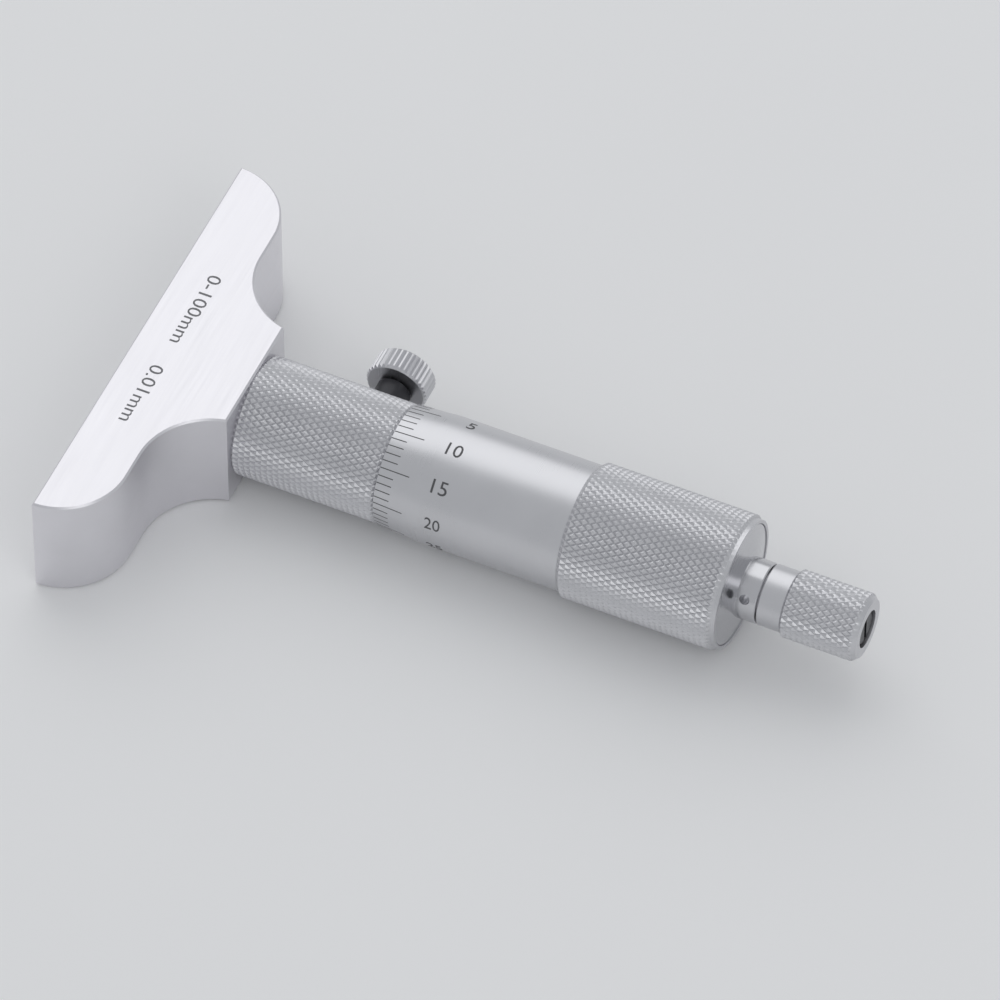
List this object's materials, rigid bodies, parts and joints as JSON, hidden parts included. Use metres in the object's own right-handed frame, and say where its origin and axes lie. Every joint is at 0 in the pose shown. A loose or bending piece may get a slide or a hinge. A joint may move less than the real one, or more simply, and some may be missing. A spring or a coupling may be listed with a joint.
{
  "type": "depth micrometer",
  "caption": "Depth micrometer head with a T-shaped base, knurled thimble, ratchet stop and spindle lock, for plug-in measuring rods.",
  "frame": {"origin": "centre of the base's measuring face, on the spindle axis", "axes": "+X along the spindle from the measuring face to the ratchet knob; +Y along the base, towards the locking screw; +Z out of the base's inscribed face. The instrument lies on its back."},
  "size_m": [0.1042, 0.0636, 0.0186],
  "materials": {
    "hardened_steel": "ground satin",
    "satin_chrome": "satin chrome",
    "bright_steel": "polished",
    "spring_steel": "drawn wire",
    "black_steel": "black oxide",
    "brass": "turned"
  },
  "bodies": {
    "frame": {"base": "hardened_steel", "guide_barrel": "bright_steel", "grip_collar": "satin_chrome", "sleeve": "satin_chrome", "thread_bush": "bright_steel", "adjusting_nut": "bright_steel", "lock_bush": "black_steel"},
    "spindle": {"spindle": "bright_steel", "rod_clip": "spring_steel"},
    "thimble": {"thimble": "satin_chrome", "ratchet_stem": "bright_steel", "ratchet_claw": "bright_steel", "ratchet_screw": "black_steel"},
    "knob": {"ratchet_knob": "satin_chrome", "ratchet_disc": "bright_steel", "ratchet_spring": "spring_steel"},
    "lock_pad": {"lock_pad": "brass"},
    "lock_screw": {"lock_screw": "satin_chrome"}
  },
  "joints": [
    {"name": "feed", "type": "slide", "parent": "frame", "child": "spindle", "axis": [1, 0, 0], "range_m": [0, 0.025]},
    {"name": "thimble_turn", "type": "hinge", "parent": "spindle", "child": "thimble", "pos_m": [0, 0, 0], "axis": [1, 0, 0], "range_deg": [0, 18000]},
    {"name": "ratchet_turn", "type": "hinge", "parent": "thimble", "child": "knob", "pos_m": [0.095, 0, 0], "axis": [1, 0, 0], "continuous": true},
    {"name": "lock_feed", "type": "slide", "parent": "frame", "child": "lock_pad", "axis": [0, 1, 0], "range_m": [-0.0000625, 0.0005]},
    {"name": "lock_turn", "type": "hinge", "parent": "lock_pad", "child": "lock_screw", "pos_m": [0.0318, 0, 0], "axis": [0, 1, 0], "range_deg": [-45, 360]}
  ],
  "couplings": [
    {"joint": "thimble_turn", "follows": "feed", "rad_per_m": 12566},
    {"joint": "lock_turn", "follows": "lock_feed", "rad_per_m": 12566}
  ]
}
